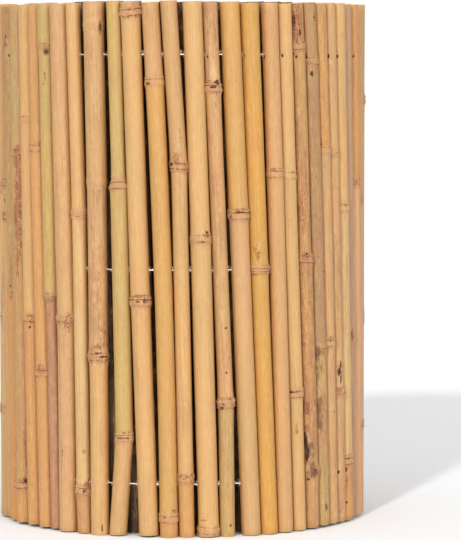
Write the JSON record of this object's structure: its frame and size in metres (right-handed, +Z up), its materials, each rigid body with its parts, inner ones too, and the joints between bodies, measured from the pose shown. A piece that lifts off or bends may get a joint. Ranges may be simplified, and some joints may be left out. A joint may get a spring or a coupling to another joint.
{
  "type": "bamboo fence panel",
  "caption": "Bamboo fence panel of whole canes drilled and threaded on galvanised wires, standing as a loose roll on its cane feet; unrolls as low screening, edging or border fence",
  "frame": {"origin": "On the floor under the middle of the roll: the middle of the bounding box in X and Y, and the lowest cane foot in Z", "axes": "+X to the right as seen from the front, +Y to the back, +Z up along the canes; the front row of canes faces -Y"},
  "size_m": [0.3571, 0.3465, 0.4998],
  "materials": {
    "straw_cane": "dry bamboo with its own smooth skin, satin",
    "tan_cane": "dry bamboo with its own smooth skin, satin",
    "orange_cane": "dry bamboo with its own smooth skin, satin",
    "yellow_cane": "dry bamboo with its own smooth skin, satin",
    "olive_cane": "dry bamboo with its own smooth skin, satin",
    "pink_cane": "dry bamboo with its own smooth skin, satin",
    "grey_cane": "dry bamboo with its own smooth skin, satin",
    "mixed_canes": "dry bamboo with its own smooth skin, satin, from straw to grey-brown",
    "galvanised_wire": "bright galvanised, satin"
  },
  "bodies": {
    "root": {"top_wire": "galvanised_wire", "middle_wire": "galvanised_wire", "bottom_wire": "galvanised_wire", "front_cane_01": "tan_cane", "front_cane_02": "pink_cane", "front_cane_03": "olive_cane", "front_cane_04": "orange_cane", "front_cane_05": "orange_cane", "front_cane_06": "olive_cane", "front_cane_07": "pink_cane", "front_cane_08": "straw_cane", "front_cane_09": "tan_cane", "front_cane_10": "olive_cane", "front_cane_11": "straw_cane", "front_cane_12": "yellow_cane", "front_cane_13": "tan_cane", "front_cane_14": "straw_cane", "front_cane_15": "pink_cane", "front_cane_16": "straw_cane", "front_cane_17": "yellow_cane", "front_cane_18": "tan_cane", "front_cane_19": "straw_cane", "front_cane_20": "pink_cane", "front_cane_21": "olive_cane", "front_cane_22": "orange_cane", "front_cane_23": "tan_cane", "front_cane_24": "yellow_cane", "front_cane_25": "grey_cane", "front_cane_26": "orange_cane", "front_cane_27": "tan_cane", "loose_end_canes_1": "mixed_canes", "loose_end_canes_2": "mixed_canes", "rolled_canes_01": "mixed_canes", "rolled_canes_02": "mixed_canes", "rolled_canes_03": "mixed_canes", "rolled_canes_04": "mixed_canes", "rolled_canes_05": "mixed_canes", "rolled_canes_06": "mixed_canes", "rolled_canes_07": "mixed_canes", "rolled_canes_08": "mixed_canes", "rolled_canes_09": "mixed_canes", "rolled_canes_10": "mixed_canes", "rolled_canes_11": "mixed_canes", "rolled_canes_12": "mixed_canes", "rolled_canes_13": "mixed_canes", "rolled_canes_14": "mixed_canes", "rolled_canes_15": "mixed_canes", "rolled_canes_16": "mixed_canes", "rolled_canes_17": "mixed_canes", "rolled_canes_18": "mixed_canes"}
  },
  "joints": []
}
